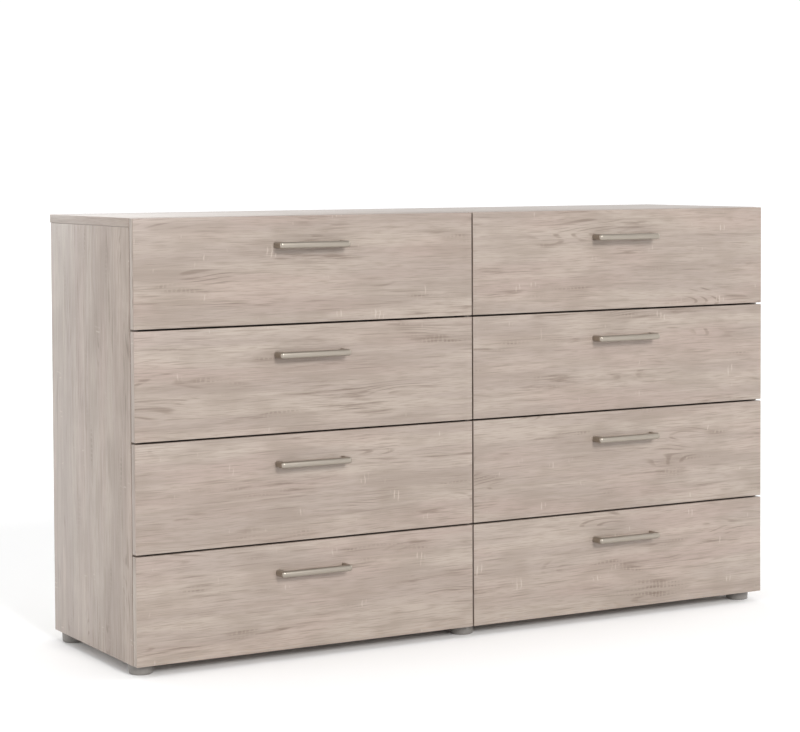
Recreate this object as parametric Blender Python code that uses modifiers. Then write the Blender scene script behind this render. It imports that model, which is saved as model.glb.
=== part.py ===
"""A low, wide dresser: two columns of four drawers in a board carcass on six round feet.

Metres, +Z up. +X is to the right of someone who faces the drawers, and the fronts look along -Y.
The origin is on the floor under the middle of the whole object, handles included.
Every drawer hangs on an empty at the middle of its opening, on the carcass's front edge, and
slides along that empty's -Y axis.
"""
import math

import bmesh
import bpy
from mathutils import Vector

OBJECT_NAME = "eight_drawer_dresser"

# ---------------------------------------------------------------- overall sizes
WIDTH = 1.401             # across the two side panels
HEIGHT = 0.817            # floor to the top face
CARCASS_DEPTH = 0.380     # front edge to back edge of the top panel
FIT = 0.0003              # gap kept between pieces that touch

# ---------------------------------------------------------------- boards
BOARD = 0.016             # top, sides, divider and bottom
BACK_THICKNESS = 0.003    # hardboard back, nailed on behind the sides
BACK_MARGIN = 0.002       # from the hardboard's edge in to the carcass's outer face
ARRIS = 0.0008            # width of the eased edges

# ---------------------------------------------------------------- drawer fronts
ROWS = 4
COLUMNS = {"left": -1, "right": 1}
FRONT_THICKNESS = 0.016
FRONT_STANDOFF = 0.001    # a shut front stands this far off the carcass's front edges
REVEAL = 0.0005           # from the outer fronts' edges in to the carcass's outline
ROW_GAP = 0.0035          # between the fronts of one column
COLUMN_GAP = 0.003        # between the two columns of fronts

# ---------------------------------------------------------------- drawer boxes
BOX_SIDE = 0.012          # thickness of the folded wrap that makes both sides and the back
BOX_SIDE_CLEARANCE = 0.002   # from the wrap to the panel beside it
BOX_LIFT = 0.014          # lower edge above the board under the lowest drawer
BOX_HEADROOM = 0.0305     # upper edge below the board over the highest drawer
BOX_BACK_CLEARANCE = 0.027   # from the wrap to the hardboard back
BOTTOM_THICKNESS = 0.003
BOTTOM_RISE = 0.010       # underside of the drawer's bottom above the wrap's lower edge
BOTTOM_GROOVE = 0.005     # depth of the groove that holds the bottom

# ---------------------------------------------------------------- runners
RUNNER_HEIGHT = 0.010
RUNNER_DEPTH = 0.008      # how far the channel stands out from its panel
RUNNER_WALL = 0.0012      # folded sheet steel
RUNNER_RISE = 0.050       # middle of the channel above the wrap's lower edge
RUNNER_FRONT_INSET = 0.010
RUNNER_BACK_INSET = 0.015
RUNNER_CLEARANCE = 0.0006    # over, under and in front of the channel in its groove

# ---------------------------------------------------------------- handles
HANDLE_LENGTH = 0.146
HANDLE_HEIGHT = 0.012
HANDLE_PROJECTION = 0.028    # front of the drawer front to front of the bar
HANDLE_BAR = 0.007        # thickness of the bar
HANDLE_LEG = 0.009        # width of each leg
HANDLE_OUTER_RADIUS = 0.005
HANDLE_INNER_RADIUS = 0.002
HANDLE_DROP = 0.053       # middle of the bar below the front's upper edge
CORNER_STEPS = 4          # chords in each rounded corner of the handle

# ---------------------------------------------------------------- feet
FOOT_HEIGHT = 0.020
FOOT_RADIUS = 0.023
FOOT_TAPER = 0.0010       # the wall leans in by this much from top to bottom
FOOT_CHAMFER = 0.0030     # at the floor
FOOT_SIDE_MARGIN = 0.004  # from the foot's edge to the carcass's outer face
FOOT_FRONT_MARGIN = 0.005
FOOT_BACK_MARGIN = 0.010
FOOT_STEPS = 32

# ---------------------------------------------------------------- places worked out from the sizes
OVERALL_DEPTH = HANDLE_PROJECTION + FRONT_THICKNESS + FRONT_STANDOFF + CARCASS_DEPTH
BACK_Y = OVERALL_DEPTH / 2                    # back edge of the top panel
EDGE_Y = BACK_Y - CARCASS_DEPTH               # front edges of the carcass
INNER_BACK_Y = BACK_Y - BACK_THICKNESS        # inner face of the hardboard back
OPENING_WIDTH = (WIDTH - 3 * BOARD) / 2       # side panel to divider
FRONT_WIDTH = (WIDTH - 2 * REVEAL - COLUMN_GAP) / 2
FRONT_STACK = HEIGHT - FOOT_HEIGHT - 2 * REVEAL
FRONT_HEIGHT = (FRONT_STACK - (ROWS - 1) * ROW_GAP) / ROWS
BOX_WIDTH = OPENING_WIDTH - 2 * BOX_SIDE_CLEARANCE
BOX_LOW = BOARD + BOX_LIFT                    # over the front's lower edge
BOX_HEIGHT = FRONT_HEIGHT - BOX_LOW - BOARD - BOX_HEADROOM
BOX_FRONT_Y = FIT - FRONT_STANDOFF            # from the drawer's empty, as the next three are
BOX_BACK_Y = INNER_BACK_Y - EDGE_Y - BOX_BACK_CLEARANCE
FRONT_FACE_Y = -FRONT_STANDOFF - FRONT_THICKNESS
RUNNER_Z = BOX_LOW + RUNNER_RISE

# name: (sRGB-like linear colour, roughness, metallic)
FINISHES = {
    "oak_foil": ((0.50, 0.42, 0.36), 0.55, 0.0),
    "box_foil": ((0.68, 0.66, 0.63), 0.60, 0.0),
    "hardboard": ((0.60, 0.57, 0.53), 0.65, 0.0),
    "satin_nickel": ((0.58, 0.55, 0.51), 0.32, 1.0),
    "zinc_steel": ((0.62, 0.63, 0.65), 0.35, 1.0),
    "foot_plastic": ((0.17, 0.165, 0.16), 0.50, 0.0),
}


def clear_scene():
    """Removes whatever the file opened with."""
    for obj in list(bpy.data.objects):
        bpy.data.objects.remove(obj, do_unlink=True)


def new_collection(name):
    """Adds an empty collection to the scene."""
    collection = bpy.data.collections.new(name)
    bpy.context.scene.collection.children.link(collection)
    return collection


def new_material(name, colour, roughness, metallic):
    """A Principled material with one plain finish."""
    material = bpy.data.materials.new(name)
    material.use_nodes = True
    shader = material.node_tree.nodes["Principled BSDF"]
    shader.inputs["Base Color"].default_value = (*colour, 1.0)
    shader.inputs["Roughness"].default_value = roughness
    shader.inputs["Metallic"].default_value = metallic
    return material


def add_object(name, data, collection, material, parent=None):
    """Links a new object to its collection, with its finish and its parent."""
    obj = bpy.data.objects.new(name, data)
    collection.objects.link(obj)
    obj.parent = parent
    if material is not None:
        data.materials.append(material)
    return obj


def box_mesh(name, low, high):
    """A closed box between two corners, with its origin in its middle. Also gives that middle."""
    low, high = Vector(low), Vector(high)
    bm = bmesh.new()
    bmesh.ops.create_cube(bm, size=1.0)
    bmesh.ops.scale(bm, vec=high - low, verts=bm.verts)
    mesh = bpy.data.meshes.new(name)
    bm.to_mesh(mesh)
    bm.free()
    return mesh, (low + high) / 2


def add_board(name, low, high, collection, material, parent=None):
    """A board between two corners, with eased edges."""
    mesh, middle = box_mesh(name, low, high)
    board = add_object(name, mesh, collection, material, parent)
    board.location = middle
    bevel = board.modifiers.new("arris", "BEVEL")
    bevel.width = ARRIS
    bevel.segments = 1
    bevel.limit_method = "ANGLE"
    return board


def add_sheet(name, low, high, collection, material, parent=None):
    """A thin sheet between two corners, with sawn edges."""
    mesh, middle = box_mesh(name, low, high)
    sheet = add_object(name, mesh, collection, material, parent)
    sheet.location = middle
    return sheet


def cut_groove(piece, name, low, high, cutters):
    """Cuts a box out of a piece. The corners are in the frame of the piece's parent."""
    mesh, middle = box_mesh(name, low, high)
    cutter = add_object(name, mesh, cutters, None, piece.parent)
    cutter.location = middle
    cutter.hide_render = True
    cutter.display_type = "WIRE"
    groove = piece.modifiers.new("groove", "BOOLEAN")
    groove.operation = "DIFFERENCE"
    groove.solver = "EXACT"
    groove.object = cutter


def outline_curve(name, points, thickness):
    """A flat closed outline in the XY plane, thickened by half its thickness either way."""
    curve = bpy.data.curves.new(name, "CURVE")
    curve.dimensions = "2D"
    curve.fill_mode = "BOTH"
    curve.extrude = thickness / 2
    spline = curve.splines.new("POLY")
    spline.points.add(len(points) - 1)
    for point, (x, y) in zip(spline.points, points):
        point.co = (x, y, 0.0, 1.0)
    spline.use_cyclic_u = True
    return curve


def rounded_outline(corners):
    """Fillets an outline. Each corner is (x, y, radius), and a radius of 0 stays sharp."""
    points = []
    count = len(corners)
    for index, (x, y, radius) in enumerate(corners):
        here = Vector((x, y))
        if radius == 0:
            points.append(here)
            continue
        to_last = (Vector(corners[index - 1][:2]) - here).normalized()
        to_next = (Vector(corners[(index + 1) % count][:2]) - here).normalized()
        centre = here + (to_last + to_next) * radius
        start, end = -to_next * radius, -to_last * radius
        for step in range(CORNER_STEPS + 1):
            turn = math.pi / 2 * step / CORNER_STEPS
            points.append(centre + start * math.cos(turn) + end * math.sin(turn))
    return points


def handle_curve():
    """The bow handle seen from above: a bar on two legs, with its back on the line y = 0."""
    half = HANDLE_LENGTH / 2
    inner_half = half - HANDLE_LEG
    front, bar_back = -HANDLE_PROJECTION, HANDLE_BAR - HANDLE_PROJECTION
    back = -FIT
    outline = rounded_outline([
        (-half, back, 0),
        (-half, front, HANDLE_OUTER_RADIUS),
        (half, front, HANDLE_OUTER_RADIUS),
        (half, back, 0),
        (inner_half, back, 0),
        (inner_half, bar_back, HANDLE_INNER_RADIUS),
        (-inner_half, bar_back, HANDLE_INNER_RADIUS),
        (-inner_half, back, 0),
    ])
    return outline_curve("handle", outline, HANDLE_HEIGHT)


def runner_curve():
    """A folded channel whose web lies on the line x = 0 and whose lips point along +X."""
    half = RUNNER_HEIGHT / 2
    inner = half - RUNNER_WALL
    outline = [
        (0.0, -half), (RUNNER_DEPTH, -half), (RUNNER_DEPTH, -inner), (RUNNER_WALL, -inner),
        (RUNNER_WALL, inner), (RUNNER_DEPTH, inner), (RUNNER_DEPTH, half), (0.0, half),
    ]
    length = INNER_BACK_Y - EDGE_Y - RUNNER_FRONT_INSET - RUNNER_BACK_INSET
    return outline_curve("runner", outline, length)


def foot_profile():
    """Half the section of a foot, from its top on the axis down to the floor on the axis."""
    top = FOOT_HEIGHT - FIT
    lower = FOOT_RADIUS - FOOT_TAPER
    points = [
        (0.0, top), (FOOT_RADIUS, top), (lower, FOOT_CHAMFER), (lower - FOOT_CHAMFER, 0.0),
        (0.0, 0.0),
    ]
    bm = bmesh.new()
    verts = [bm.verts.new((x, 0.0, z)) for x, z in points]
    for upper, under in zip(verts, verts[1:]):
        bm.edges.new((upper, under))
    mesh = bpy.data.meshes.new("foot")
    bm.to_mesh(mesh)
    bm.free()
    return mesh


def add_carcass(collection, materials):
    """Top, two sides, divider, bottom and the hardboard back."""
    oak = materials["oak_foil"]
    half = WIDTH / 2
    under_top = HEIGHT - BOARD
    rear = INNER_BACK_Y - FIT
    add_board("top_panel", (-half, EDGE_Y, under_top), (half, BACK_Y, HEIGHT), collection, oak)
    for column, side in COLUMNS.items():
        outer, inner = side * half, side * (half - BOARD)
        low = (min(outer, inner), EDGE_Y, FOOT_HEIGHT)
        high = (max(outer, inner), rear, under_top - FIT)
        add_board(f"side_panel_{column}", low, high, collection, oak)
    inside = half - BOARD - FIT
    floor_top = FOOT_HEIGHT + BOARD
    add_board("bottom_panel", (-inside, EDGE_Y, FOOT_HEIGHT), (inside, rear, floor_top),
              collection, oak)
    add_board("centre_divider", (-BOARD / 2, EDGE_Y, floor_top + FIT),
              (BOARD / 2, rear, under_top - FIT), collection, oak)
    edge = half - BACK_MARGIN
    add_sheet("back_panel", (-edge, INNER_BACK_Y, FOOT_HEIGHT + BACK_MARGIN),
              (edge, BACK_Y, under_top - FIT), collection, materials["hardboard"])


def add_feet(collection, materials):
    """Six turned feet: under both side panels and the divider, front and back."""
    mesh = foot_profile()
    mesh.materials.append(materials["foot_plastic"])
    outer_x = WIDTH / 2 - FOOT_SIDE_MARGIN - FOOT_RADIUS
    columns = {"left": -outer_x, "centre": 0.0, "right": outer_x}
    rows = {
        "front": EDGE_Y + FOOT_FRONT_MARGIN + FOOT_RADIUS,
        "back": BACK_Y - FOOT_BACK_MARGIN - FOOT_RADIUS,
    }
    for row, y in rows.items():
        for column, x in columns.items():
            foot = add_object(f"foot_{row}_{column}", mesh, collection, None)
            foot.location = (x, y, 0.0)
            screw = foot.modifiers.new("turn", "SCREW")
            screw.angle = 2 * math.pi
            screw.steps = FOOT_STEPS
            screw.render_steps = FOOT_STEPS
            screw.use_merge_vertices = True
            screw.merge_threshold = 0.0001


def add_slide(name, x, z, collection):
    """The empty that a drawer hangs on, at the front of the middle of its opening."""
    slide = bpy.data.objects.new(name, None)
    slide.empty_display_type = "SINGLE_ARROW"
    collection.objects.link(slide)
    slide.location = (x, EDGE_Y, z)
    return slide


def add_front(name, slide, side, collection, cutters, materials):
    """A drawer front that overlays the carcass, with a groove for the drawer's bottom."""
    overlay = side * (WIDTH / 2 - REVEAL - FRONT_WIDTH / 2) - slide.location.x
    low = (overlay - FRONT_WIDTH / 2, FRONT_FACE_Y, 0.0)
    high = (overlay + FRONT_WIDTH / 2, -FRONT_STANDOFF, FRONT_HEIGHT)
    front = add_board(f"front_{name}", low, high, collection, materials["oak_foil"], slide)
    half = BOX_WIDTH / 2 - BOX_SIDE + BOTTOM_GROOVE
    underside = BOX_LOW + BOTTOM_RISE
    cut_groove(
        front, f"cut_front_{name}",
        (-half, -FRONT_STANDOFF - BOTTOM_GROOVE, underside - FIT),
        (half, BOX_FRONT_Y, underside + BOTTOM_THICKNESS + FIT), cutters)
    return overlay


def add_wrap(name, slide, collection, cutters, materials):
    """Both sides and the back of a drawer box in one folded board, with its grooves."""
    half = BOX_WIDTH / 2
    mesh, middle = box_mesh(f"box_{name}", (-half, BOX_FRONT_Y, BOX_LOW),
                            (half, BOX_BACK_Y, BOX_LOW + BOX_HEIGHT))
    bm = bmesh.new()
    bm.from_mesh(mesh)
    open_sides = [face for face in bm.faces if abs(face.normal.z) > 0.5 or face.normal.y < -0.5]
    bmesh.ops.delete(bm, geom=open_sides, context="FACES")
    bm.to_mesh(mesh)
    bm.free()
    wrap = add_object(f"box_{name}", mesh, collection, materials["box_foil"], slide)
    wrap.location = middle
    solidify = wrap.modifiers.new("board", "SOLIDIFY")
    solidify.thickness = BOX_SIDE
    solidify.offset = -1.0
    solidify.use_even_offset = True

    slot_depth = FIT + RUNNER_DEPTH - BOX_SIDE_CLEARANCE + RUNNER_CLEARANCE
    slot_half = RUNNER_HEIGHT / 2 + RUNNER_CLEARANCE
    outside = half + BOX_SIDE_CLEARANCE
    for side in (-1, 1):
        ends = sorted((side * outside, side * (half - slot_depth)))
        cut_groove(wrap, f"cut_slot_{name}_{'a' if side < 0 else 'b'}",
                   (ends[0], BOX_FRONT_Y - BOX_SIDE, RUNNER_Z - slot_half),
                   (ends[1], BOX_BACK_Y + BOX_SIDE, RUNNER_Z + slot_half), cutters)
    groove = half - BOX_SIDE + BOTTOM_GROOVE
    underside = BOX_LOW + BOTTOM_RISE
    cut_groove(wrap, f"cut_bottom_{name}",
               (-groove, BOX_FRONT_Y - BOX_SIDE, underside - FIT),
               (groove, BOX_BACK_Y - BOX_SIDE + BOTTOM_GROOVE, underside + BOTTOM_THICKNESS + FIT),
               cutters)


def add_drawer(row, column, side, collection, cutters, materials):
    """Front, handle, wrap and bottom of one drawer, and the two runners it slides on."""
    name = f"{column}_{row}"
    opening_x = side * (BOARD + OPENING_WIDTH) / 2
    lower_edge = HEIGHT - REVEAL - row * FRONT_HEIGHT - (row - 1) * ROW_GAP
    slide = add_slide(f"slide_{name}", opening_x, lower_edge, collection)
    front_x = add_front(name, slide, side, collection, cutters, materials)

    handle = add_object(f"handle_{name}", handle_curve(), collection,
                        materials["satin_nickel"], slide)
    handle.location = (front_x, FRONT_FACE_Y, FRONT_HEIGHT - HANDLE_DROP)

    add_wrap(name, slide, collection, cutters, materials)
    half = BOX_WIDTH / 2 - BOX_SIDE + BOTTOM_GROOVE - FIT
    underside = BOX_LOW + BOTTOM_RISE
    add_sheet(f"bottom_{name}",
              (-half, -FRONT_STANDOFF - BOTTOM_GROOVE + FIT, underside),
              (half, BOX_BACK_Y - BOX_SIDE + BOTTOM_GROOVE - FIT, underside + BOTTOM_THICKNESS),
              collection, materials["hardboard"], slide)

    runner_y = (EDGE_Y + RUNNER_FRONT_INSET + INNER_BACK_Y - RUNNER_BACK_INSET) / 2
    for end, half_turn in (("a", 0.0), ("b", math.pi)):
        runner = add_object(f"runner_{name}_{end}", runner_curve(), collection,
                            materials["zinc_steel"])
        inward = math.cos(half_turn)
        web_x = opening_x - inward * (OPENING_WIDTH / 2 - FIT)
        runner.location = (web_x, runner_y, lower_edge + RUNNER_Z)
        runner.rotation_euler = (math.pi / 2, half_turn, 0.0)


def main():
    """Builds the dresser."""
    clear_scene()
    collection = new_collection(OBJECT_NAME)
    cutters = new_collection("cutters")
    materials = {name: new_material(name, *finish) for name, finish in FINISHES.items()}
    add_carcass(collection, materials)
    add_feet(collection, materials)
    for row in range(1, ROWS + 1):
        for column, side in COLUMNS.items():
            add_drawer(row, column, side, collection, cutters, materials)


main()
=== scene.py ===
"""The looks of a low, wide dresser with eight drawers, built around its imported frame.

Every size is in metres unless its name says millimetres. +X is to the right of someone who faces
the drawers, the fronts look along -Y, and the origin is on the floor. Each sub-assembly is a class
that models its pieces over the frame's own nodes, dresses them and hangs them on their bodies.
"""
import logging
import math
from dataclasses import dataclass, field
from enum import Enum
from typing import Callable, Iterable

import bmesh
import bpy
from mathutils import Euler, Matrix, Vector


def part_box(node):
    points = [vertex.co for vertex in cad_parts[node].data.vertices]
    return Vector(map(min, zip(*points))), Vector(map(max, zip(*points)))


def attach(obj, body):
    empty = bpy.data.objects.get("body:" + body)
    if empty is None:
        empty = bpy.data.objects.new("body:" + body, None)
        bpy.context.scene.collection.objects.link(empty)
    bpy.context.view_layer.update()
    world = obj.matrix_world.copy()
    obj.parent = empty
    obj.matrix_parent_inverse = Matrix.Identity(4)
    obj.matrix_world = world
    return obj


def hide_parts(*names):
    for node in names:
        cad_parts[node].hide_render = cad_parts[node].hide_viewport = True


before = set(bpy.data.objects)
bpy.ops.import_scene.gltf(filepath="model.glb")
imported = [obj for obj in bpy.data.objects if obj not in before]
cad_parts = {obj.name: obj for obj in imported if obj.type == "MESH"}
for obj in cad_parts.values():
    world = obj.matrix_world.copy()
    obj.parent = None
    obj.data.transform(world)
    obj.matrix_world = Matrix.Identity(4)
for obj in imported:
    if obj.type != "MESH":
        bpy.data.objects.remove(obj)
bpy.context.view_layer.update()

LOG = logging.getLogger("dresser")
MM = 0.001
NEAR = 1e-5

Test = Callable[[Vector, Vector], bool]


class Axis(Enum):
    """The three directions of the frame."""

    X = 0
    Y = 1
    Z = 2


# ---------------------------------------------------------------- colour and nodes
def linear(code: str) -> tuple[float, float, float, float]:
    """Turns an sRGB hex colour into the linear one that shaders take.

    Args:
        code: six hex digits after a hash sign.

    Returns:
        Linear red, green and blue, and an alpha of 1.
    """
    channels = [int(code[i:i + 2], 16) / 255 for i in (1, 3, 5)]
    made = [c / 12.92 if c <= 0.04045 else ((c + 0.055) / 1.055) ** 2.4 for c in channels]
    return (*made, 1.0)


def add_node(tree: bpy.types.NodeTree, kind: str, inputs: dict | None = None,
             **settings: object) -> bpy.types.Node:
    """Adds a node with its settings, values and links.

    Args:
        tree: the node tree that the node goes in.
        kind: the node's type, such as ShaderNodeMath.
        inputs: for each input, by index or name, a value or the output that feeds it.
        **settings: properties of the node itself.

    Returns:
        The new node.
    """
    node = tree.nodes.new(kind)
    for name, value in settings.items():
        setattr(node, name, value)
    for key, value in (inputs or {}).items():
        if isinstance(value, bpy.types.NodeSocket):
            tree.links.new(value, node.inputs[key])
        else:
            node.inputs[key].default_value = value
    return node


def new_material(name: str) -> tuple[bpy.types.Material, bpy.types.Node]:
    """Starts a material.

    Args:
        name: the material's name.

    Returns:
        The material and its Principled shader.
    """
    material = bpy.data.materials.new(name)
    material.use_nodes = True
    return material, material.node_tree.nodes["Principled BSDF"]


# ---------------------------------------------------------------- finishes
@dataclass(frozen=True)
class SawnOakFoil:
    """Decor paper printed and embossed as rough-sawn oak, on particleboard.

    A lacquered paper foil gives a satin face, which turns pale and cool where it is seen along
    its length. The print carries fine broken fibres, soft darker patches of heartwood that the
    saw has chopped, a few curling growth lines, and short pale marks across the grain. It reads
    the panel's own grain map, whose U runs along the grain in metres.
    """

    name: str = "oak_foil_sawn"
    ground: str = "#968980"
    pale: str = "#A5998E"
    fibre: str = "#85786D"
    heart: str = "#69594D"
    tick: str = "#BEB2A6"
    rose: str = "#A28D84"
    band_mm: tuple[float, float] = (620.0, 38.0)
    cloud_mm: tuple[float, float] = (150.0, 60.0)
    fibre_mm: tuple[float, float] = (260.0, 8.0)
    line_mm: tuple[float, float] = (120.0, 2.6)
    thread_mm: tuple[float, float] = (40.0, 1.6)
    rose_mm: tuple[float, float] = (360.0, 80.0)
    heart_mm: tuple[float, float] = (250.0, 26.0)
    core_mm: tuple[float, float] = (95.0, 5.5)
    growth_mm: tuple[float, float] = (330.0, 52.0)
    growth_rings: float = 13.0
    tick_pitch_mm: float = 9.0
    tick_patch_mm: tuple[float, float] = (46.0, 38.0)
    wander_mm: float = 4.5
    wander_patch_mm: tuple[float, float] = (420.0, 110.0)
    growth_patch_mm: tuple[float, float] = (260.0, 70.0)
    stray_mm: float = 9.0
    stray_patch_mm: tuple[float, float] = (30.0, 30.0)
    gloss_change: float = 0.07
    emboss_mm: float = 0.05
    roughness: float = 0.33

    def material(self) -> bpy.types.Material:
        """Builds the foil.

        Returns:
            The material.
        """
        material, shader = new_material(self.name)
        tree = material.node_tree
        uv = add_node(tree, "ShaderNodeUVMap", uv_map="grain").outputs[0]

        def patches(place: bpy.types.NodeSocket, size: tuple[float, float], shift: float,
                    detail: float = 3.0, rough: float = 0.55) -> bpy.types.NodeSocket:
            """Noise with patches of a size along and across the grain, in millimetres.

            Args:
                place: the coordinates it reads.
                size: the patches' length and height.
                shift: where on the endless noise it starts.
                detail: how many finer layers it has.
                rough: how strong those are.

            Returns:
                The noise, mostly from 0.3 to 0.7.
            """
            scale = (1 / (size[0] * MM), 1 / (size[1] * MM), 1.0)
            mapped = add_node(tree, "ShaderNodeMapping", {"Vector": place, "Scale": scale,
                              "Location": (shift, 1.7 * shift, 0.0)}).outputs[0]
            return add_node(tree, "ShaderNodeTexNoise",
                            {"Vector": mapped, "Scale": 1.0, "Detail": detail, "Roughness": rough},
                            noise_dimensions="2D").outputs[0]

        def window(value: bpy.types.NodeSocket, low: float, high: float,
                   top: float = 1.0) -> bpy.types.NodeSocket:
            """Turns a value from low to high into one from 0 to top, softly.

            Args:
                value: what is read.
                low: where the result is 0.
                high: where it is top.
                top: its highest value.

            Returns:
                The new value.
            """
            return add_node(tree, "ShaderNodeMapRange",
                            {"Value": value, "From Min": low, "From Max": high, "To Max": top},
                            interpolation_type="SMOOTHSTEP").outputs[0]

        def combine(how: str, first: bpy.types.NodeSocket,
                    second: bpy.types.NodeSocket | float = 0.0) -> bpy.types.NodeSocket:
            """Combines two values, by the name of a sum.

            Args:
                how: the sum, as the Math node names it.
                first: the first value.
                second: the second one, where the sum takes two.

            Returns:
                The result.
            """
            return add_node(tree, "ShaderNodeMath", {0: first, 1: second}, operation=how).outputs[0]

        def tint(base: bpy.types.NodeSocket | tuple, over: str,
                 amount: bpy.types.NodeSocket) -> bpy.types.NodeSocket:
            """Lays a colour over another by an amount.

            Args:
                base: the colour below.
                over: the colour above, as a hex code.
                amount: how much of it shows.

            Returns:
                The mixed colour.
            """
            return add_node(tree, "ShaderNodeMix", {0: amount, 6: base, 7: linear(over)},
                            data_type="RGBA").outputs[2]

        # a slow wander bends every layer together, as the tree's own growth does
        wander = patches(uv, self.wander_patch_mm, 3.1, detail=1.0)
        bend = add_node(tree, "ShaderNodeMapRange", {"Value": wander, "To Max": self.wander_mm * MM,
                        "To Min": -self.wander_mm * MM}).outputs[0]
        offset = add_node(tree, "ShaderNodeCombineXYZ", {1: bend}).outputs[0]
        grain = add_node(tree, "ShaderNodeVectorMath", {0: uv, 1: offset}, operation="ADD").outputs[0]

        band = patches(grain, self.band_mm, 0.0, detail=2.0)
        cloud = patches(uv, self.cloud_mm, 5.0, detail=2.0)
        fibre = patches(grain, self.fibre_mm, 7.0, detail=3.0, rough=0.55)
        line = patches(grain, self.line_mm, 13.0, detail=1.0)
        thread = patches(grain, self.thread_mm, 11.0, detail=2.0)
        rose = patches(uv, self.rose_mm, 47.0, detail=1.0)
        patch = patches(grain, self.heart_mm, 17.0, detail=2.0, rough=0.5)
        core = patches(grain, self.core_mm, 29.0, detail=3.0, rough=0.6)

        # the saw's beat: strokes across the grain at a nearly even pitch, which stray a little
        split = add_node(tree, "ShaderNodeSeparateXYZ", {0: uv})
        stray = combine("MULTIPLY", patches(uv, self.stray_patch_mm, 2.0, detail=2.0),
                        self.stray_mm * MM)
        along = combine("ADD", split.outputs[0], stray)
        beat = combine("SINE", combine("MULTIPLY", along, 2 * math.pi / (self.tick_pitch_mm * MM)))

        # heartwood: dark fibres inside a patch, chopped short by the saw here and there
        chopped = combine("MULTIPLY", window(beat, 0.0, 0.7), window(cloud, 0.56, 0.64, 0.5))
        whole = combine("SUBTRACT", window(core, 0.44, 0.74), chopped)
        heart = combine("MULTIPLY", window(patch, 0.56, 0.68), combine("MAXIMUM", whole, 0.0))

        # growth lines: level lines of a smooth hill, broken by the fibres
        hill = patches(grain, self.growth_mm, 23.0, detail=1.0, rough=0.3)
        wave = combine("SINE", combine("MULTIPLY", hill, self.growth_rings * 2 * math.pi))
        where = window(patches(uv, self.growth_patch_mm, 31.0, detail=1.0), 0.60, 0.70)
        growth = combine("MULTIPLY", combine("MULTIPLY", window(wave, 0.35, 1.0), where),
                         window(fibre, 0.38, 0.58))

        mark = patches(uv, self.tick_patch_mm, 41.0, detail=1.0)
        ticks = combine("MULTIPLY", window(beat, 0.35, 0.95), window(mark, 0.72, 0.84))

        colour = tint(linear(self.ground), self.pale, window(band, 0.38, 0.66, 0.70))
        colour = tint(colour, self.rose, window(rose, 0.42, 0.68, 0.32))
        colour = tint(colour, self.fibre, window(cloud, 0.42, 0.70, 0.50))
        colour = tint(colour, self.fibre, window(fibre, 0.50, 0.74, 0.42))
        colour = tint(colour, self.pale, window(fibre, 0.48, 0.24, 0.38))
        colour = tint(colour, self.heart, window(line, 0.62, 0.79, 0.46))
        colour = tint(colour, self.heart, combine("MULTIPLY", heart, 0.75))
        colour = tint(colour, self.heart, combine("MULTIPLY", growth, 0.60))
        colour = tint(colour, self.fibre, window(thread, 0.46, 0.72, 0.60))
        colour = tint(colour, self.tick, combine("MULTIPLY", ticks, 0.42))
        tree.links.new(colour, shader.inputs["Base Color"])

        relief = combine("ADD", combine("ADD", thread, fibre), combine("MULTIPLY", ticks, 0.5))
        bump = add_node(tree, "ShaderNodeBump", {"Height": relief, "Strength": 0.4,
                        "Distance": self.emboss_mm * MM}).outputs[0]
        tree.links.new(bump, shader.inputs["Normal"])
        sheen = add_node(tree, "ShaderNodeMapRange",
                         {"Value": fibre, "To Min": self.roughness - self.gloss_change,
                          "To Max": self.roughness + self.gloss_change}).outputs[0]
        tree.links.new(sheen, shader.inputs["Roughness"])
        shader.inputs["IOR"].default_value = 1.5
        return material


@dataclass(frozen=True)
class PaperFoil:
    """Light grey paper foil with a fine linen emboss, as on folded drawer boxes."""

    name: str = "paper_foil_linen"
    colour: str = "#CFCBC5"
    shade: str = "#C2BDB6"
    thread_mm: float = 1.2
    roughness: float = 0.6

    def material(self) -> bpy.types.Material:
        """Builds the foil.

        Returns:
            The material.
        """
        material, shader = new_material(self.name)
        tree = material.node_tree
        place = add_node(tree, "ShaderNodeTexCoord").outputs["Object"]
        split = add_node(tree, "ShaderNodeSeparateXYZ", {0: place})
        turn = 2 * math.pi / (self.thread_mm * MM)
        waves = []
        for axis in range(3):
            beat = add_node(tree, "ShaderNodeMath", {0: split.outputs[axis], 1: turn},
                            operation="MULTIPLY").outputs[0]
            waves.append(add_node(tree, "ShaderNodeMath", {0: beat}, operation="SINE").outputs[0])
        weave = add_node(tree, "ShaderNodeMath", {0: waves[0], 1: waves[1]},
                         operation="ADD").outputs[0]
        weave = add_node(tree, "ShaderNodeMath", {0: weave, 1: waves[2]}, operation="ADD").outputs[0]
        cloud = add_node(tree, "ShaderNodeTexNoise", {"Vector": place, "Scale": 1 / (60 * MM),
                         "Detail": 4.0}).outputs[0]
        colour = add_node(tree, "ShaderNodeMix", {0: cloud, 6: linear(self.colour),
                          7: linear(self.shade)}, data_type="RGBA").outputs[2]
        tree.links.new(colour, shader.inputs["Base Color"])
        bump = add_node(tree, "ShaderNodeBump", {"Height": weave, "Strength": 0.25,
                        "Distance": 0.03 * MM}).outputs[0]
        tree.links.new(bump, shader.inputs["Normal"])
        shader.inputs["Roughness"].default_value = self.roughness
        return material


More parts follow.
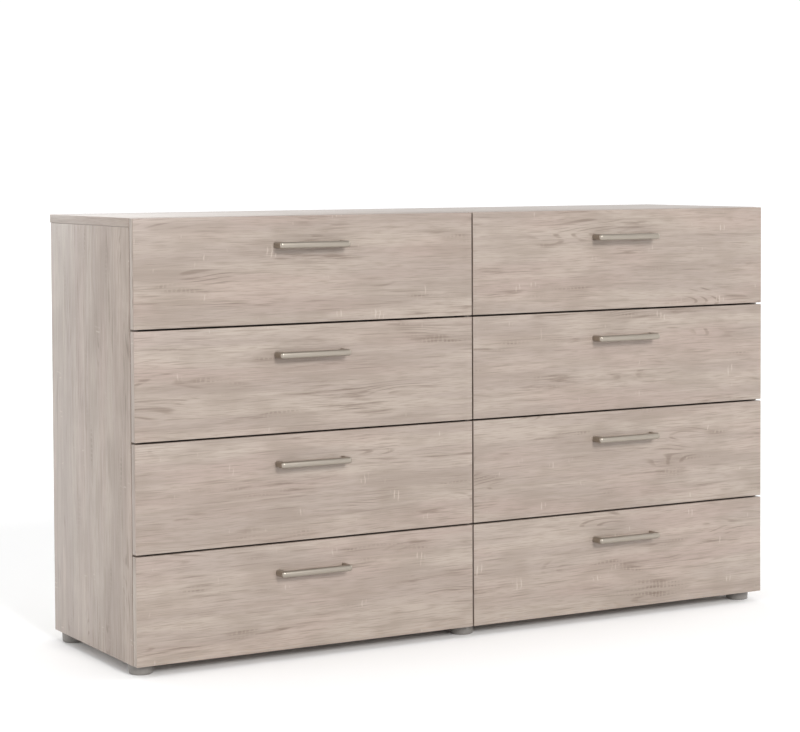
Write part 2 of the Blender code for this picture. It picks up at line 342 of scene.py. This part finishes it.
@dataclass(frozen=True)
class Hardboard:
    """Thin pressed-fibre board with a painted face: matt, with loose fibres under the paint."""

    name: str = "hardboard_painted"
    colour: str = "#CDC9C2"
    fibre: str = "#B9B1A5"
    fibre_mm: float = 4.0
    roughness: float = 0.68

    def material(self) -> bpy.types.Material:
        """Builds the board.

        Returns:
            The material.
        """
        material, shader = new_material(self.name)
        tree = material.node_tree
        place = add_node(tree, "ShaderNodeTexCoord").outputs["Object"]
        fibres = add_node(tree, "ShaderNodeTexNoise", {"Vector": place,
                          "Scale": 1 / (self.fibre_mm * MM), "Detail": 6.0, "Roughness": 0.7,
                          "Distortion": 1.2}).outputs[0]
        cloud = add_node(tree, "ShaderNodeTexNoise", {"Vector": place, "Scale": 1 / (180 * MM),
                         "Detail": 3.0}).outputs[0]
        amount = add_node(tree, "ShaderNodeMapRange", {"Value": fibres, "From Min": 0.5,
                          "From Max": 0.8, "To Max": 0.45}).outputs[0]
        colour = add_node(tree, "ShaderNodeMix", {0: amount, 6: linear(self.colour),
                          7: linear(self.fibre)}, data_type="RGBA").outputs[2]
        soft = add_node(tree, "ShaderNodeMapRange", {"Value": cloud, "To Max": 0.25}).outputs[0]
        colour = add_node(tree, "ShaderNodeMix", {0: soft, 6: colour, 7: linear(self.fibre)},
                          data_type="RGBA").outputs[2]
        tree.links.new(colour, shader.inputs["Base Color"])
        bump = add_node(tree, "ShaderNodeBump", {"Height": fibres, "Strength": 0.2,
                        "Distance": 0.05 * MM}).outputs[0]
        tree.links.new(bump, shader.inputs["Normal"])
        shader.inputs["Roughness"].default_value = self.roughness
        return material


@dataclass(frozen=True)
class BrushedMetal:
    """A plated metal with fine lines left by a brush or a roller, all along one direction."""

    name: str
    colour: str
    worn: str
    roughness: float
    line_mm: float = 0.35
    line_long_mm: float = 40.0
    along: Axis = Axis.X

    def material(self) -> bpy.types.Material:
        """Builds the metal.

        Returns:
            The material.
        """
        material, shader = new_material(self.name)
        tree = material.node_tree
        place = add_node(tree, "ShaderNodeTexCoord").outputs["Object"]
        scale = [1 / (self.line_mm * MM)] * 3
        scale[self.along.value] = 1 / (self.line_long_mm * MM)
        mapped = add_node(tree, "ShaderNodeMapping", {"Vector": place, "Scale": scale}).outputs[0]
        lines = add_node(tree, "ShaderNodeTexNoise", {"Vector": mapped, "Scale": 1.0,
                         "Detail": 3.0, "Roughness": 0.6}).outputs[0]
        cloud = add_node(tree, "ShaderNodeTexNoise", {"Vector": place, "Scale": 1 / (12 * MM),
                         "Detail": 3.0}).outputs[0]
        colour = add_node(tree, "ShaderNodeMix", {0: lines, 6: linear(self.colour),
                          7: linear(self.worn)}, data_type="RGBA").outputs[2]
        tree.links.new(colour, shader.inputs["Base Color"])
        rough = add_node(tree, "ShaderNodeMapRange", {"Value": cloud, "To Min": self.roughness - 0.06,
                         "To Max": self.roughness + 0.06}).outputs[0]
        tree.links.new(rough, shader.inputs["Roughness"])
        bump = add_node(tree, "ShaderNodeBump", {"Height": lines, "Strength": 0.2,
                        "Distance": 0.01 * MM}).outputs[0]
        tree.links.new(bump, shader.inputs["Normal"])
        shader.inputs["Metallic"].default_value = 1.0
        return material


@dataclass(frozen=True)
class MouldedPlastic:
    """Injection-moulded polypropylene with a fine spark-eroded grain."""

    name: str = "polypropylene_moulded"
    colour: str = "#77736F"
    scuffed: str = "#8D8984"
    grain_mm: float = 0.5
    roughness: float = 0.48

    def material(self) -> bpy.types.Material:
        """Builds the plastic.

        Returns:
            The material.
        """
        material, shader = new_material(self.name)
        tree = material.node_tree
        place = add_node(tree, "ShaderNodeTexCoord").outputs["Object"]
        grain = add_node(tree, "ShaderNodeTexNoise", {"Vector": place,
                         "Scale": 1 / (self.grain_mm * MM), "Detail": 2.0}).outputs[0]
        scuff = add_node(tree, "ShaderNodeTexNoise", {"Vector": place, "Scale": 1 / (9 * MM),
                         "Detail": 5.0, "Roughness": 0.7}).outputs[0]
        amount = add_node(tree, "ShaderNodeMapRange", {"Value": scuff, "From Min": 0.5,
                          "From Max": 0.8, "To Max": 0.5}).outputs[0]
        colour = add_node(tree, "ShaderNodeMix", {0: amount, 6: linear(self.colour),
                          7: linear(self.scuffed)}, data_type="RGBA").outputs[2]
        tree.links.new(colour, shader.inputs["Base Color"])
        rough = add_node(tree, "ShaderNodeMapRange", {"Value": scuff, "To Min": self.roughness - 0.08,
                         "To Max": self.roughness + 0.08}).outputs[0]
        tree.links.new(rough, shader.inputs["Roughness"])
        bump = add_node(tree, "ShaderNodeBump", {"Height": grain, "Strength": 0.3,
                        "Distance": 0.03 * MM}).outputs[0]
        tree.links.new(bump, shader.inputs["Normal"])
        return material


# ---------------------------------------------------------------- modelling by hand, in code
def deselect() -> None:
    """Leaves nothing selected, so that an operator acts on the new piece alone."""
    bpy.ops.object.select_all(action="DESELECT")


def add_block(name: str, low: Vector, high: Vector) -> bpy.types.Object:
    """Adds a block between two corners, with its place in its mesh.

    Args:
        name: the piece's name.
        low: lowest corner.
        high: highest corner.

    Returns:
        The new piece, selected and active.
    """
    deselect()
    low, high = Vector(low), Vector(high)
    bpy.ops.mesh.primitive_cube_add(size=1.0, location=(low + high) / 2, scale=high - low)
    piece = bpy.context.object
    piece.name = name
    bpy.ops.object.transform_apply(location=True, rotation=True, scale=True)
    return piece


def add_disc(name: str, middle: Vector, radius: float, height: float, axis: Axis = Axis.Z,
             sides: int = 32) -> bpy.types.Object:
    """Adds a short cylinder along an axis, with its place in its mesh.

    Args:
        name: the piece's name.
        middle: its middle.
        radius: its radius.
        height: its length along the axis.
        axis: the direction of its length.
        sides: number of sides.

    Returns:
        The new piece, selected and active.
    """
    deselect()
    turn = {Axis.X: (0.0, math.pi / 2, 0.0), Axis.Y: (math.pi / 2, 0.0, 0.0), Axis.Z: (0.0,) * 3}
    bpy.ops.mesh.primitive_cylinder_add(vertices=sides, radius=radius, depth=height,
                                        location=middle, rotation=turn[axis])
    piece = bpy.context.object
    piece.name = name
    bpy.ops.object.transform_apply(location=True, rotation=True, scale=True)
    return piece


def pick(piece: bpy.types.Object, faces: Test | None = None, edges: Test | None = None) -> int:
    """Opens a piece in edit mode and selects by place and direction.

    Args:
        piece: the piece to edit, which is made active.
        faces: takes a face's middle and normal, and says whether to select it.
        edges: takes an edge's middle and direction, and says whether to select it.

    Returns:
        The number of elements selected.
    """
    if bpy.context.mode != "OBJECT":
        bpy.ops.object.mode_set(mode="OBJECT")
    deselect()
    piece.select_set(True)
    bpy.context.view_layer.objects.active = piece
    bpy.ops.object.mode_set(mode="EDIT")
    bpy.ops.mesh.select_mode(type="FACE" if faces else "EDGE")
    bpy.ops.mesh.select_all(action="DESELECT")
    bm = bmesh.from_edit_mesh(piece.data)
    bm.normal_update()
    count = 0
    if faces:
        for face in bm.faces:
            if faces(face.calc_center_median(), face.normal):
                face.select_set(True)
                count += 1
    if edges:
        for edge in bm.edges:
            first, last = (v.co for v in edge.verts)
            if edges((first + last) / 2, (last - first).normalized()):
                edge.select_set(True)
                count += 1
    bmesh.update_edit_mesh(piece.data)
    return count


def leave_edit() -> None:
    """Goes back to object mode."""
    bpy.ops.object.mode_set(mode="OBJECT")


def ease_edges(piece: bpy.types.Object, width: float, segments: int = 3,
               edges: Test | None = None) -> None:
    """Rounds edges of a piece.

    Args:
        piece: the piece.
        width: how far each rounding reaches along its faces.
        segments: number of strips in each rounding.
        edges: which edges to round. All of them when left out.
    """
    pick(piece, edges=edges or (lambda middle, direction: True))
    bpy.ops.mesh.bevel(offset=width, offset_type="OFFSET", segments=segments, profile=0.5,
                       affect="EDGES", clamp_overlap=True)
    leave_edit()


def apply_modifiers(piece: bpy.types.Object) -> None:
    """Applies every modifier of a piece, in order.

    Args:
        piece: the piece.
    """
    deselect()
    piece.select_set(True)
    bpy.context.view_layer.objects.active = piece
    for modifier in list(piece.modifiers):
        bpy.ops.object.modifier_apply(modifier=modifier.name)


def cut(piece: bpy.types.Object, cutters: Iterable[bpy.types.Object]) -> None:
    """Cuts pieces out of another, and throws the cutters away.

    Args:
        piece: what is cut.
        cutters: the closed shapes to take away.
    """
    cutters = list(cutters)
    for cutter in cutters:
        difference = piece.modifiers.new("cut", "BOOLEAN")
        difference.operation = "DIFFERENCE"
        difference.solver = "EXACT"
        difference.object = cutter
    apply_modifiers(piece)
    for cutter in cutters:
        bpy.data.objects.remove(cutter, do_unlink=True)


def join(name: str, parts: list[bpy.types.Object]) -> bpy.types.Object:
    """Joins parts into one piece.

    Args:
        name: the joined piece's name.
        parts: the parts, of which the first one stays.

    Returns:
        The joined piece.
    """
    deselect()
    for part in parts:
        part.select_set(True)
    bpy.context.view_layer.objects.active = parts[0]
    if len(parts) > 1:
        bpy.ops.object.join()
    piece = bpy.context.object
    piece.name = name
    return piece


def copy_to(source: bpy.types.Object, name: str, step: Vector) -> bpy.types.Object:
    """Copies a piece with its own mesh, moved by a step that goes into the mesh.

    Args:
        source: the piece to copy.
        name: the copy's name.
        step: how far the copy lies from the piece.

    Returns:
        The copy.
    """
    copy = source.copy()
    copy.data = source.data.copy()
    copy.name = name
    bpy.context.scene.collection.objects.link(copy)
    copy.data.transform(Matrix.Translation(step))
    return copy


def smooth(piece: bpy.types.Object, degrees: float = 32.0) -> None:
    """Shades a piece smooth, apart from edges sharper than an angle.

    Args:
        piece: the piece.
        degrees: the angle.
    """
    deselect()
    piece.select_set(True)
    bpy.context.view_layer.objects.active = piece
    bpy.ops.object.shade_smooth_by_angle(angle=math.radians(degrees))


def map_grain(piece: bpy.types.Object, along: Axis, start: tuple[float, float]) -> None:
    """Lays the foil on a board: gives it a UV map in metres, with U along the grain.

    On an edge that the grain runs into, the strip of edge banding has its own grain, along the
    edge's length.

    Args:
        piece: the board.
        along: the direction of the grain on the board's faces.
        start: where on the endless print this board's corner lies, in metres.
    """
    mesh = piece.data
    points = [v.co for v in mesh.vertices]
    span = [max(p[i] for p in points) - min(p[i] for p in points) for i in range(3)]
    low = Vector([min(p[i] for p in points) for i in range(3)])
    layer = mesh.uv_layers.new(name="grain") if not mesh.uv_layers else mesh.uv_layers[0]
    layer.name = "grain"
    for polygon in mesh.polygons:
        normal = polygon.normal
        facing = max(range(3), key=lambda i: abs(normal[i]))
        flat = [i for i in range(3) if i != facing]
        u = along.value if along.value in flat else max(flat, key=lambda i: span[i])
        v = next(i for i in flat if i != u)
        slide = 0.37 * facing + (0.19 if normal[facing] > 0 else 0.0)
        for loop in polygon.loop_indices:
            here = points[mesh.loops[loop].vertex_index] - low
            layer.data[loop].uv = (start[0] + here[u] + slide, start[1] + here[v] + slide)


def dress(piece: bpy.types.Object, material: bpy.types.Material, slot: str, body: str,
          *nodes: str) -> bpy.types.Object:
    """Gives a finished piece its material, its body and the nodes it stands for.

    Args:
        piece: the piece.
        material: its finish.
        slot: the record's material slot. It is not used.
        body: the body that it rides on.
        *nodes: the frame's nodes that it replaces.

    Returns:
        The piece.
    """
    piece.data.materials.clear()
    piece.data.materials.append(material)
    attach(piece, body)
    if nodes:
        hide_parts(*nodes)
    LOG.info("%s rides on %s, %d faces", piece.name, body, len(piece.data.polygons))
    return piece


# ---------------------------------------------------------------- the workshop's shelf of finishes
class Finishes:
    """Every finish of the dresser, made once."""

    def __init__(self) -> None:
        """Builds the materials."""
        self.oak = SawnOakFoil().material()
        self.foil = PaperFoil().material()
        self.hardboard = Hardboard().material()
        self.nickel = BrushedMetal("nickel_satin_brushed", "#B0A79C", "#989085", 0.34).material()
        self.steel = BrushedMetal("steel_zinc_rolled", "#C3C6C9", "#A9ADB1", 0.36,
                                  along=Axis.Y).material()
        self.plastic = MouldedPlastic().material()


# ---------------------------------------------------------------- sub-assemblies
@dataclass
class Carcass:
    """Top, sides, divider and bottom in foiled particleboard, and the nailed hardboard back."""

    finishes: Finishes
    arris: float = 0.8 * MM
    grain: dict[str, tuple[Axis, tuple[float, float]]] = field(default_factory=lambda: {
        "top_panel": (Axis.X, (11.3, 4.1)),
        "side_panel_left": (Axis.Z, (3.2, 8.7)),
        "side_panel_right": (Axis.Z, (5.9, 14.2)),
        "centre_divider": (Axis.Z, (7.4, 17.3)),
        "bottom_panel": (Axis.X, (13.8, 21.9)),
    })
    nail_pitch: float = 0.105
    nail_radius: float = 2.2 * MM
    nail_height: float = 0.5 * MM
    nail_inset: float = 8 * MM
    nail_rim: float = 0.2 * MM
    sheet_arris: float = 0.3 * MM

    def board(self, node: str) -> bpy.types.Object:
        """Makes one foiled board over its node.

        Args:
            node: the board's node.

        Returns:
            The board.
        """
        low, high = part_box(node)
        piece = add_block(f"{node}_board", low, high)
        ease_edges(piece, self.arris)
        smooth(piece)
        axis, start = self.grain[node]
        map_grain(piece, axis, start)
        return dress(piece, self.finishes.oak, "oak_foil", "carcass", node)

    def back(self) -> bpy.types.Object:
        """Makes the hardboard back, with softly broken edges.

        Returns:
            The back.
        """
        low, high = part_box("back_panel")
        piece = add_block("back_board", low, high)
        ease_edges(piece, self.sheet_arris, segments=1)
        return dress(piece, self.finishes.hardboard, "hardboard", "carcass", "back_panel")

    def nails(self) -> bpy.types.Object:
        """Makes the row of nails round the back's edge and down the divider.

        Returns:
            The nails, as one piece.
        """
        low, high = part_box("back_panel")
        rim = high.y + self.nail_height / 2
        left, right = low.x + self.nail_inset, high.x - self.nail_inset
        bottom, top = low.z + self.nail_inset, high.z - self.nail_inset
        across = max(2, round((right - left) / self.nail_pitch))
        upward = max(2, round((top - bottom) / self.nail_pitch))
        spots = [(left + (right - left) * i / across, bottom) for i in range(across + 1)]
        for i in range(1, upward + 1):
            z = bottom + (top - bottom) * i / upward
            spots += [(left, z), (0.0, z), (right, z)]
        head = add_disc("nail", Vector((spots[0][0], rim, spots[0][1])), self.nail_radius,
                        self.nail_height, Axis.Y, sides=12)
        ease_edges(head, self.nail_rim, segments=1, edges=lambda m, d: m.y > rim and abs(d.y) < 0.5)
        heads = [head]
        for x, z in spots[1:]:
            heads.append(copy_to(head, "nail", Vector((x - spots[0][0], 0.0, z - spots[0][1]))))
        piece = join("back_nails", heads)
        smooth(piece)
        return dress(piece, self.finishes.steel, "zinc_steel", "carcass")

    def build(self) -> None:
        """Makes every piece of the carcass."""
        for node in self.grain:
            self.board(node)
        self.back()
        self.nails()


@dataclass
class Foot:
    """A round moulded foot, with a drawn-in skirt, a rounded rim and a recessed sole."""

    finishes: Finishes
    sides: int = 64
    rim: float = 2.6 * MM
    taper: float = 0.955
    sole_inset: float = 3.5 * MM
    sole_recess: float = 0.8 * MM
    top_rim: float = 0.5 * MM

    def build(self, node: str) -> bpy.types.Object:
        """Makes one foot over its node.

        Args:
            node: the foot's node.

        Returns:
            The foot.
        """
        low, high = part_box(node)
        middle = (low + high) / 2
        radius = (high.x - low.x) / 2
        piece = add_disc(f"{node}_moulding", middle, radius, high.z - low.z, sides=self.sides)
        pick(piece, faces=lambda m, n: n.z < -0.9)
        bpy.ops.transform.resize(value=(self.taper, self.taper, 1.0),
                                 center_override=(middle.x, middle.y, low.z))
        bpy.ops.mesh.bevel(offset=self.rim, segments=5, profile=0.5, affect="EDGES")
        pick(piece, faces=lambda m, n: n.z < -0.99)
        bpy.ops.mesh.inset(thickness=self.sole_inset)
        bpy.ops.transform.translate(value=(0.0, 0.0, self.sole_recess))
        leave_edit()
        ease_edges(piece, self.top_rim, 2, lambda m, d: m.z > high.z - NEAR)
        smooth(piece, 40)
        return dress(piece, self.finishes.plastic, "foot_plastic", "carcass", node)


@dataclass
class Runner:
    """A folded steel channel on the wall of an opening, held by countersunk screws."""

    finishes: Finishes
    wall: float = 1.2 * MM
    fold: float = 0.9 * MM
    lip: float = 0.4 * MM
    screw_radius: float = 2.9 * MM
    screw_cone: float = 1.1 * MM
    screw_places: tuple[float, ...] = (0.028, 0.156, 0.316)

    def build(self, node: str) -> bpy.types.Object:
        """Makes one channel over its node, and its screws.

        Args:
            node: the channel's node.

        Returns:
            The screws' heads, as one piece.
        """
        low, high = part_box(node)
        facing = 1.0 if node.endswith("_a") else -1.0
        piece = add_block(f"{node}_channel", low, high)
        inner_low = Vector((low.x, low.y - self.wall, low.z + self.wall))
        inner_high = Vector((high.x, high.y + self.wall, high.z - self.wall))
        if facing > 0:
            inner_low.x, inner_high.x = low.x + self.wall, high.x + self.wall
        else:
            inner_low.x, inner_high.x = low.x - self.wall, high.x - self.wall
        cut(piece, [add_block("cutter", inner_low, inner_high)])
        web = low.x if facing > 0 else high.x
        tip = high.x if facing > 0 else low.x
        ease_edges(piece, self.fold, 3,
                   lambda m, d: abs(m.x - web) < NEAR and abs(d.y) > 0.9)
        ease_edges(piece, self.lip, 2,
                   lambda m, d: abs(m.x - tip) < NEAR and abs(d.y) > 0.9)
        smooth(piece)
        dress(piece, self.finishes.steel, "zinc_steel", "carcass", node)
        return self.screws(node, web, facing, low, high)

    def screws(self, node: str, web: float, facing: float, low: Vector,
               high: Vector) -> bpy.types.Object:
        """Makes the countersunk heads that hold one channel.

        Args:
            node: the channel's node.
            web: where the channel's back lies along X.
            facing: 1 when the channel opens along +X, -1 along -X.
            low: the channel's lowest corner.
            high: its highest corner.

        Returns:
            The heads, as one piece.
        """
        x = web + facing * (self.wall + self.screw_cone / 2)
        z = (low.z + high.z) / 2
        first = Vector((x, low.y + self.screw_places[0], z))
        head = screw_head("screw", first, self.screw_radius, self.screw_cone, Axis.X, facing)
        heads = [head]
        for place in self.screw_places[1:]:
            heads.append(copy_to(head, "screw", Vector((0, place - self.screw_places[0], 0))))
        piece = join(f"{node}_screws", heads)
        smooth(piece)
        return dress(piece, self.finishes.steel, "zinc_steel", "carcass")


def screw_head(name: str, middle: Vector, radius: float, height: float, axis: Axis,
               facing: float) -> bpy.types.Object:
    """Makes a screw's head with a cross recess.

    Args:
        name: the head's name.
        middle: its middle.
        radius: its radius.
        height: its height along the axis.
        axis: the screw's axis.
        facing: 1 when the recess looks along the axis, -1 when it looks back.

    Returns:
        The head, with its place in its mesh.
    """
    head = add_disc(name, middle, radius, height, axis, sides=20)
    way = Vector([facing if i == axis.value else 0.0 for i in range(3)])
    top = middle + way * height / 2
    ease_edges(head, height * 0.45, 2,
               lambda m, d: (m - top).dot(way) > -height * 0.1 and abs(d.dot(way)) < 0.5)
    across = [i for i in range(3) if i != axis.value]
    slots = []
    for long_axis in across:
        half = Vector((radius * 0.16,) * 3)
        half[long_axis] = radius * 0.62
        half[axis.value] = height * 0.45
        slots.append(add_block("slot", top - half, top + half))
    cut(head, slots)
    return head


@dataclass
class Handle:
    """A slim bow handle: a bar with a full, rounded face, curving back into two legs."""

    finishes: Finishes
    bar: float = 7 * MM
    leg: float = 9 * MM
    outer_bend: float = 5.5 * MM
    inner_bend: float = 3 * MM
    face_round: float = 4.4 * MM
    back_round: float = 1.4 * MM

    def build(self, node: str, body: str) -> bpy.types.Object:
        """Makes one handle over its node.

        Args:
            node: the handle's node.
            body: the drawer's body.

        Returns:
            The handle.
        """
        low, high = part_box(node)
        middle = (low + high) / 2
        reach = (high.x - low.x) / 2
        piece = add_block(f"{node}_bow", low, high)
        grip_low = Vector((low.x + self.leg, low.y + self.bar, low.z - self.leg))
        grip_high = Vector((high.x - self.leg, high.y + self.leg, high.z + self.leg))
        cut(piece, [add_block("cutter", grip_low, grip_high)])
        ease_edges(piece, self.outer_bend, 6,
                   lambda m, d: abs(d.z) > 0.9 and abs(m.y - low.y) < NEAR)
        ease_edges(piece, self.inner_bend, 5,
                   lambda m, d: abs(d.z) > 0.9 and abs(m.y - grip_low.y) < NEAR)

        def on_rim(spot: Vector, direction: Vector) -> bool:
            """True for the edges of the upper and lower sides, apart from the legs' ends.

            Args:
                spot: an edge's middle.
                direction: its direction.

            Returns:
                Whether it is one of them.
            """
            return (abs(direction.z) < 0.1 and spot.y < high.y - NEAR
                    and min(spot.z - low.z, high.z - spot.z) < NEAR)

        def outside(spot: Vector) -> bool:
            """True on the bow's outer line."""
            return spot.y < low.y + self.bar / 2 or abs(spot.x - middle.x) > reach - self.leg / 2

        ease_edges(piece, self.face_round, 6, lambda m, d: on_rim(m, d) and outside(m))
        ease_edges(piece, self.back_round, 3, lambda m, d: on_rim(m, d) and not outside(m))
        smooth(piece, 40)
        return dress(piece, self.finishes.nickel, "satin_nickel", body, node)


@dataclass
class Drawer:
    """One drawer: its oak front, folded box, hardboard bottom, handle and fittings."""

    finishes: Finishes
    name: str
    start: tuple[float, float]
    arris: float = 0.8 * MM
    wrap: float = 12 * MM
    rim: float = 0.7 * MM
    fold: float = 1.2 * MM
    groove_clear: float = 0.3 * MM
    slot_clear: float = 0.6 * MM
    cam_radius: float = 7.5 * MM
    cam_proud: float = 0.4 * MM
    cam_setback: float = 24 * MM
    cam_heights: tuple[float, float] = (0.34, 0.80)
    sheet_arris: float = 0.3 * MM
    screw_radius: float = 4.2 * MM
    screw_head: float = 2.0 * MM
    screw_inset: float = 4.5 * MM

    @property
    def body(self) -> str:
        """The body that the drawer's pieces ride on."""
        return f"drawer_{self.name}"

    def front(self) -> bpy.types.Object:
        """Makes the overlay front, with the groove that holds the bottom.

        Returns:
            The front.
        """
        node = f"front_{self.name}"
        low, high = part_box(node)
        sheet_low, sheet_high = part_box(f"bottom_{self.name}")
        piece = add_block(f"{node}_board", low, high)
        ease_edges(piece, self.arris)
        gap = self.groove_clear
        groove = add_block("groove", (sheet_low.x - gap, sheet_low.y - gap, sheet_low.z - gap),
                           (sheet_high.x + gap, high.y + gap, sheet_high.z + gap))
        cut(piece, [groove])
        smooth(piece)
        map_grain(piece, Axis.X, self.start)
        return dress(piece, self.finishes.oak, "oak_foil", self.body, node)

    def box(self) -> bpy.types.Object:
        """Makes the sides and the back as one folded board, with its grooves.

        Returns:
            The box.
        """
        node = f"box_{self.name}"
        low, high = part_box(node)
        piece = add_block(f"{node}_wrap", low, high)
        pick(piece, faces=lambda m, n: abs(n.z) > 0.5 or n.y < -0.5)
        bpy.ops.mesh.delete(type="FACE")
        leave_edit()
        board = piece.modifiers.new("board", "SOLIDIFY")
        board.thickness = self.wrap
        board.offset = -1.0
        board.use_even_offset = True
        apply_modifiers(piece)
        ease_edges(piece, self.fold, 2, lambda m, d: abs(d.z) > 0.9 and m.y > high.y - NEAR)
        ease_edges(piece, self.rim, 2, lambda m, d: abs(d.z) < 0.1 and abs(m.z - high.z) < NEAR)
        cutters = []
        for end, x in (("a", low.x), ("b", high.x)):
            rail_low, rail_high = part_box(f"runner_{self.name}_{end}")
            deep = (rail_high.x if end == "a" else rail_low.x)
            deep += self.slot_clear if end == "a" else -self.slot_clear
            ends = sorted((x + (x - deep), deep))
            cutters.append(add_block(
                "slot", (ends[0], low.y - self.wrap, rail_low.z - self.slot_clear),
                (ends[1], high.y + self.wrap, rail_high.z + self.slot_clear)))
        sheet_low, sheet_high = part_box(f"bottom_{self.name}")
        gap = self.groove_clear
        cutters.append(add_block(
            "groove", (sheet_low.x - gap, low.y - self.wrap, sheet_low.z - gap),
            (sheet_high.x + gap, sheet_high.y + gap, sheet_high.z + gap)))
        cut(piece, cutters)
        smooth(piece)
        return dress(piece, self.finishes.foil, "box_foil", self.body, node)

    def bottom(self) -> bpy.types.Object:
        """Makes the thin bottom, with softly broken edges.

        Returns:
            The bottom.
        """
        node = f"bottom_{self.name}"
        low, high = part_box(node)
        piece = add_block(f"{node}_sheet", low, high)
        ease_edges(piece, self.sheet_arris, segments=1)
        return dress(piece, self.finishes.hardboard, "hardboard", self.body, node)

    def cams(self) -> bpy.types.Object:
        """Makes the four cam fittings that pull the front onto the box.

        Returns:
            The fittings, as one piece.
        """
        low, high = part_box(f"box_{self.name}")
        heads = []
        for x, way in ((low.x + self.wrap, 1.0), (high.x - self.wrap, -1.0)):
            for share in self.cam_heights:
                middle = Vector((x, low.y + self.cam_setback, low.z + (high.z - low.z) * share))
                heads.append(screw_head("cam", middle, self.cam_radius, 2 * self.cam_proud,
                                        Axis.X, way))
        piece = join(f"cams_{self.name}", heads)
        smooth(piece)
        return dress(piece, self.finishes.steel, "zinc_steel", self.body)

    def handle_screws(self) -> bpy.types.Object:
        """Makes the two screw heads that hold the handle, on the front's inner face.

        Returns:
            The heads, as one piece.
        """
        low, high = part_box(f"handle_{self.name}")
        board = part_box(f"front_{self.name}")[1]
        z = (low.z + high.z) / 2
        heads = []
        for x in (low.x + self.screw_inset, high.x - self.screw_inset):
            middle = Vector((x, board.y + self.screw_head / 2, z))
            heads.append(screw_head("screw", middle, self.screw_radius, self.screw_head,
                                    Axis.Y, 1.0))
        piece = join(f"handle_screws_{self.name}", heads)
        smooth(piece)
        return dress(piece, self.finishes.steel, "zinc_steel", self.body)

    def build(self) -> None:
        """Makes every piece of the drawer."""
        self.front()
        self.box()
        self.bottom()
        Handle(self.finishes).build(f"handle_{self.name}", self.body)
        self.cams()
        self.handle_screws()
        for end in ("a", "b"):
            Runner(self.finishes).build(f"runner_{self.name}_{end}")


# ---------------------------------------------------------------- studio
@dataclass(frozen=True)
class Softbox:
    """A distant, wide and even light: its bearing, its height, and the share of light it gives."""

    name: str
    bearing: float
    share: float
    height: float = 25.0
    spread: float = 50.0

    def build(self) -> None:
        """Sets up the light."""
        turn, rise = math.radians(self.bearing), math.radians(self.height)
        way = Vector((math.sin(turn) * math.cos(rise), -math.cos(turn) * math.cos(rise),
                      math.sin(rise)))
        data = bpy.data.lights.new(self.name, "SUN")
        data.angle = math.radians(self.spread)
        data.energy = self.share * math.pi
        lamp = bpy.data.objects.new(self.name, data)
        bpy.context.scene.collection.objects.link(lamp)
        lamp.rotation_euler = way.to_track_quat("Z", "Y").to_euler()


@dataclass
class Studio:
    """A white floor and backdrop, softboxes a little above the dresser, and the camera."""

    lens_mm: float = 102.40
    place: tuple[float, float, float] = (-2.2821, -3.8805, 0.9151)
    turn: float = 29.87
    tilt: float = -2.54
    roll: float = -0.27
    shift: float = -0.130
    floor_size: float = 60.0
    horizon: float = 1.08
    ceiling: float = 0.63
    softboxes: tuple[Softbox, ...] = (
        Softbox("front_softbox", 0.0, 0.66, spread=15.0),
        Softbox("left_softbox", -90.0, 0.26),
        Softbox("right_softbox", 90.0, 0.29),
        Softbox("back_softbox", 180.0, 0.29),
    )

    def camera(self) -> None:
        """Sets up a long lens, low and to the left of the dresser's front."""
        data = bpy.data.cameras.new("camera")
        data.lens = self.lens_mm
        data.shift_y = self.shift
        data.clip_end = 100.0
        camera = bpy.data.objects.new("camera", data)
        bpy.context.scene.collection.objects.link(camera)
        aim = Euler((math.radians(90 + self.tilt), 0.0, math.radians(-self.turn))).to_matrix()
        aim = aim @ Matrix.Rotation(math.radians(self.roll), 3, "Z")
        camera.matrix_world = Matrix.Translation(self.place) @ aim.to_4x4()
        bpy.context.scene.camera = camera

    def floor(self) -> None:
        """Lays a plain, matt, white floor."""
        deselect()
        bpy.ops.mesh.primitive_plane_add(size=self.floor_size)
        floor = bpy.context.object
        floor.name = "studio_floor"
        material, shader = new_material("studio_floor_matt")
        shader.inputs["Base Color"].default_value = linear("#F9F9F9")
        shader.inputs["Roughness"].default_value = 1.0
        shader.inputs["Specular IOR Level"].default_value = 0.0
        floor.data.materials.append(material)

    def surroundings(self) -> None:
        """Surrounds the studio with a white wall that fades into a dimmer ceiling."""
        world = bpy.data.worlds.new("studio")
        bpy.context.scene.world = world
        world.use_nodes = True
        tree = world.node_tree
        way = add_node(tree, "ShaderNodeTexCoord").outputs["Generated"]
        rise = add_node(tree, "ShaderNodeSeparateXYZ", {0: way}).outputs[2]
        glow = add_node(tree, "ShaderNodeMapRange",
                        {"Value": rise, "From Min": 0.20, "From Max": 0.42,
                         "To Min": self.horizon, "To Max": self.ceiling},
                        interpolation_type="SMOOTHSTEP").outputs[0]
        tree.links.new(glow, tree.nodes["Background"].inputs["Strength"])
        tree.nodes["Background"].inputs["Color"].default_value = (1.0, 1.0, 1.0, 1.0)

    def build(self) -> None:
        """Sets up the whole studio."""
        bpy.context.scene.view_settings.view_transform = "Standard"
        self.camera()
        self.floor()
        self.surroundings()
        for softbox in self.softboxes:
            softbox.build()


def main() -> None:
    """Builds the dresser's looks and the studio round it."""
    logging.basicConfig(level=logging.INFO, format="%(name)s: %(message)s")
    finishes = Finishes()
    Carcass(finishes).build()
    for row in ("front", "back"):
        for column in ("left", "centre", "right"):
            Foot(finishes).build(f"foot_{row}_{column}")
    starts = {
        "left_1": (0.4, 0.9), "left_2": (2.1, 3.3), "left_3": (4.7, 5.6), "left_4": (6.2, 7.8),
        "right_1": (8.9, 1.7), "right_2": (10.3, 2.6), "right_3": (12.8, 6.4),
        "right_4": (15.1, 9.2),
    }
    for name, start in starts.items():
        Drawer(finishes, name, start).build()
    Studio().build()


if __name__ == "__main__":
    main()
